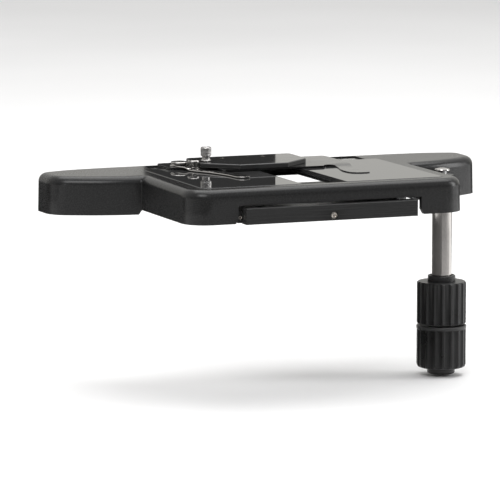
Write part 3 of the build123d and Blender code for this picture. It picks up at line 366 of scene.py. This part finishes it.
# the finger's outline from the pivot: rows are left x, left y, right x, right y
FINGER_ROWS = [
    (-3.9, -2.6, 3.9, -2.6), (-2.9, -7.0, 3.6, -8.0), (-0.9, -14.0, 5.6, -15.6), (2.3, -21.5, 9.4, -20.6),
    (6.0, -29.0, 13.6, -27.8), (9.2, -37.0, 17.0, -35.4), (11.1, -44.5, 19.4, -42.4),
    (11.6, -49.5, 20.5, -47.0), (12.0, -52.6, 20.5, -50.4), (13.2, -54.8, 19.9, -53.2),
    (15.3, -56.0, 18.6, -55.2)]
# the blade's side: rows are the distance in from the outline and the height over its bottom
BLADE_EDGE = [
    (0.16, 0.0), (0.0, 0.14), (0.0, FINGER_THICKNESS - 0.16), (0.07, FINGER_THICKNESS - 0.05),
    (0.20, FINGER_THICKNESS)]
# the hub's section, from its hole round its rim and back: rows are the radius and the height over its bottom
HUB_SECTION = [
    (2.2, 0.0), (4.95, 0.0), (5.1, 0.14), (5.1, FINGER_THICKNESS - 0.16), (5.03, FINGER_THICKNESS - 0.05),
    (4.9, FINGER_THICKNESS), (2.3, FINGER_THICKNESS), (2.2, FINGER_THICKNESS - 0.1)]
HUB_STEPS = 96
ROW_STEPS = 6


def clamped(value):
    """The value, held between 0 and 1."""
    return min(1.0, max(0.0, value))


def smooth_rows(rows, steps):
    """Catmull-Rom points through rows of numbers."""
    result = []
    for i in range(len(rows) - 1):
        a, b = rows[max(i - 1, 0)], rows[i]
        c, d = rows[i + 1], rows[min(i + 2, len(rows) - 1)]
        for k in range(steps):
            t = k / steps
            result.append(tuple(0.5 * (2 * q + (r - p) * t + (2 * p - 5 * q + 4 * r - s) * t * t
                                       + (3 * q - p - 3 * r + s) * t ** 3)
                                for p, q, r, s in zip(a, b, c, d)))
    return result + [rows[-1]]


def finger_mesh():
    """Flat sprung finger: round hub with its hole, joggle down, blade with broken edges."""
    rings = []
    for left_x, left_y, right_x, right_y in smooth_rows(FINGER_ROWS, ROW_STEPS):
        from_pivot = -(left_y + right_y) / 2
        down = clamped((from_pivot - JOGGLE_START) / JOGGLE_LENGTH)
        down = down * down * (3 - 2 * down)
        z = HUB_BOTTOM + (BLADE_BOTTOM - HUB_BOTTOM) * down
        left = Vector((PIVOT[0] + left_x, PIVOT[1] + left_y, z))
        right = Vector((PIVOT[0] + right_x, PIVOT[1] + right_y, z))
        inward = (right - left).normalized()
        left_side = [left + inward * step + Vector((0, 0, rise)) for step, rise in BLADE_EDGE]
        right_side = [right - inward * step + Vector((0, 0, rise)) for step, rise in reversed(BLADE_EDGE)]
        rings.append([tuple(point) for point in left_side + right_side])
    hub = []
    for j in range(HUB_STEPS):
        angle = 2 * math.pi * j / HUB_STEPS
        hub.append([(PIVOT[0] + r * math.cos(angle), PIVOT[1] + r * math.sin(angle), HUB_BOTTOM + z)
                    for r, z in HUB_SECTION])
    return joined(loft(rings), loft(hub + [hub[0]], closed_ends=False))


add_piece("sprung_finger", finger_mesh(), "spring_finger", "polished_steel", "spring_finger")

SHAFT_AXIS = (88.0, 5.0)
crown_foot, crown_top = [corner[2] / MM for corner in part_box("shaft_crown")]
crown_profile = [
    (2.30, crown_foot, 0), (4.00, crown_foot, 0), (4.20, crown_foot + 0.2, 0), (4.20, crown_foot + 0.5, 0),
    (3.95, crown_foot + 0.9, 0), (3.30, crown_top - 0.55, 0), (2.40, crown_top - 0.2, 0),
    (1.20, crown_top - 0.03, 0), (0.20, crown_top, 0)]
add_piece("domed_shaft_crown", turning(*SHAFT_AXIS, crown_profile, 64),
          "x_drive", "polished_steel", "shaft_crown")

screw_low, screw_high = [Vector(corner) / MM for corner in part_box("front_bar_screw")]
head_radius = (screw_high.x - screw_low.x) / 2
screw_face, shank_end = screw_low.y, screw_high.y
screw_profile = [
    # socket
    (0.2, screw_face + 0.75, 0), (head_radius * 0.45, screw_face + 0.7, 0),
    (head_radius * 0.5, screw_face + 0.12, 0),
    # head with its broken edges
    (head_radius * 0.58, screw_face + 0.02, 0), (head_radius * 0.86, screw_face, 0),
    (head_radius * 0.97, screw_face + 0.1, 0), (head_radius, screw_face + 0.25, 0),
    (head_radius, screw_face + 0.9, 0),
    # shank
    (head_radius * 0.6, screw_face + 1.0, 0), (head_radius * 0.6, shank_end, 0)]
add_piece("socket_bar_screw",
          turning((screw_low.x + screw_high.x) / 2, (screw_low.z + screw_high.z) / 2, screw_profile, 72,
                  along_y=True),
          "base", "screw_steel", "front_bar_screw")

# the claw thins over a run to the right of its root and a run towards its point
CLAW_ROOT_X, CLAW_RUN_X = 24.0, 4.0
CLAW_ROOT_Y, CLAW_RUN_Y = 27.0, 6.0
CLAW_THINNING = 0.6
CLAW_DROP = 0.2


def thinned_holder():
    """The holder's plate with its claw thinned towards the point and brought down a little."""
    source = nodes["slide_holder"].data
    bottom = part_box("slide_holder")[0][2]
    verts = []
    for vertex in source.vertices:
        x, y, z = vertex.co
        share = clamped((x / MM - CLAW_ROOT_X) / CLAW_RUN_X) * clamped((CLAW_ROOT_Y - y / MM) / CLAW_RUN_Y)
        thinned = bottom + (z - bottom) * (1 - CLAW_THINNING * share)
        verts.append((x / MM, y / MM, thinned / MM - CLAW_DROP * share))
    return verts, [tuple(face.vertices) for face in source.polygons]


add_piece("holder_plate", thinned_holder(), "x_carriage", "holder_black", "slide_holder")

# ---------------------------------------------------------------- studio

FLOOR_HEIGHT = -0.0945
FLOOR_HALF = 6.0


def add_floor():
    """A level floor under the stage."""
    mesh = bpy.data.meshes.new("floor")
    sides = ((-1, -1), (1, -1), (1, 1), (-1, 1))
    corners = [(x * FLOOR_HALF, y * FLOOR_HALF, FLOOR_HEIGHT) for x, y in sides]
    mesh.from_pydata(corners, [], [(0, 1, 2, 3)])
    floor = bpy.data.objects.new("floor", mesh)
    bpy.context.collection.objects.link(floor)
    floor.data.materials.append(floor_finish())


def facing_y(y, left, right, low, high):
    """Corners, in mm, of an upright card across the stage."""
    return [(left, y, low), (right, y, low), (right, y, high), (left, y, high)]


def facing_x(x, front, back, low, high):
    """Corners, in mm, of an upright card along the stage."""
    return [(x, front, low), (x, back, low), (x, back, high), (x, front, high)]


def level(z, left, right, front, back):
    """Corners, in mm, of a card that lies level."""
    return [(left, front, z), (right, front, z), (right, back, z), (left, back, z)]


def add_card(name, corners, colour):
    """A card that only reflections see; its colour is a linear grey."""
    mesh = bpy.data.meshes.new(name)
    mesh.from_pydata([tuple(v * MM for v in c) for c in corners], [], [(0, 1, 2, 3)])
    card = bpy.data.objects.new(name, mesh)
    bpy.context.collection.objects.link(card)
    s = Surface(name, specular=0.1)
    cloud = s.noise(3, 2)
    s.colour(grey(colour * 0.95), grey(colour * 1.05), s.spread(cloud, 0, 1))
    s.roughness(s.spread(cloud, 0.8, 0.9))
    card.data.materials.append(s.material)
    card.visible_camera = False
    card.visible_shadow = False
    card.visible_diffuse = False


def add_light(name, position, size, power):
    """A rectangular light that faces the middle of the stage; power is in watts."""
    data = bpy.data.lights.new(name, "AREA")
    data.shape = "RECTANGLE"
    data.size, data.size_y = size
    data.energy = power
    light = bpy.data.objects.new(name, data)
    light.location = position
    light.rotation_euler = (STAGE_CENTRE - Vector(position)).to_track_quat("-Z", "Y").to_euler()
    bpy.context.collection.objects.link(light)


STAGE_CENTRE = Vector((0.0, 0.01, 0.0))
CARD_FOOT = -94  # upright cards stand just over the floor
CARD_LEVEL = -93.8

add_floor()
# the first two cards stand where the microscope's column and stand do,
# the next two darken low parts of the room
add_card("column_flag", facing_y(110, -46, 33, 22, 130), 0.004)
add_card("stand_flag", facing_y(170, -420, 60, CARD_FOOT, 10), 0.03)
add_card("tube_flag", facing_x(40, -110, 150, CARD_FOOT, -12), 0.14)
add_card("wall_flag", facing_y(300, 215, 1000, CARD_FOOT, -12), 0.02)
# level cards darken the floor that the front faces reflect
add_card("near_floor", level(CARD_LEVEL, -900, 700, -600, -120), 0.34)
add_card("far_floor", level(CARD_LEVEL, -900, 700, -1600, -600), 0.11)

add_light("key_light", (-0.9, -1.3, 1.5), (1.2, 0.9), 20)
add_light("top_light", (0.3, 0.3, 1.8), (2.0, 1.8), 34)
add_light("side_light", (1.6, -0.5, 0.5), (0.5, 1.1), 12)

ROOM_DARK, ROOM_PALE = (0.05, 0.05, 0.05), (0.52, 0.52, 0.53)
WALL_LOW, WALL_HIGH = (0.74, 0.73, 0.69), (0.98, 0.97, 0.95)


def add_world():
    """A pale wall behind the stage, and before it a room that is dark low down."""
    world = bpy.data.worlds.new("studio")
    world.use_nodes = True
    world_nodes, links = world.node_tree.nodes, world.node_tree.links
    direction = world_nodes.new("ShaderNodeTexCoord").outputs["Generated"]
    split = world_nodes.new("ShaderNodeSeparateXYZ")
    links.new(direction, split.inputs["Vector"])

    def blend(axis, start, end, *ends):
        """Mix two colours between two values of the direction's axis."""
        side = world_nodes.new("ShaderNodeMapRange")
        side.inputs["From Min"].default_value = start
        side.inputs["From Max"].default_value = end
        links.new(split.outputs[axis], side.inputs["Value"])
        mix = world_nodes.new("ShaderNodeMix")
        mix.data_type = "RGBA"
        for socket, value in zip(("A", "B"), ends):
            if isinstance(value, tuple):
                mix.inputs[socket].default_value = (*value, 1)
            else:
                links.new(value, mix.inputs[socket])
        links.new(side.outputs["Result"], mix.inputs["Factor"])
        return mix.outputs["Result"]

    room = blend("Z", 0.08, 0.45, ROOM_DARK, ROOM_PALE)
    wall = blend("Z", 0.20, 0.50, WALL_LOW, WALL_HIGH)
    links.new(blend("Y", -0.2, 0.5, room, wall), world_nodes["Background"].inputs["Color"])
    bpy.context.scene.world = world


add_world()
bpy.context.scene.view_settings.view_transform = "Standard"

# ---------------------------------------------------------------- camera

# found from the outline of the stage in the photo
AZIMUTH = math.radians(22.08)
TILT = math.radians(8.05)
CAMERA_PLACE = (-850.5 * MM, -2029.85 * MM, 291.3 * MM)
LENS, SENSOR_WIDTH = 297.84, 36.0
camera_data = bpy.data.cameras.new("camera")
camera_data.sensor_fit = "HORIZONTAL"
camera_data.sensor_width = SENSOR_WIDTH
camera_data.lens = LENS
camera_data.clip_start = 0.05
camera_data.clip_end = 50.0
camera = bpy.data.objects.new("camera", camera_data)
camera.location = CAMERA_PLACE
camera.rotation_euler = (math.pi / 2 - TILT, 0.0, -AZIMUTH)
bpy.context.collection.objects.link(camera)
bpy.context.scene.camera = camera
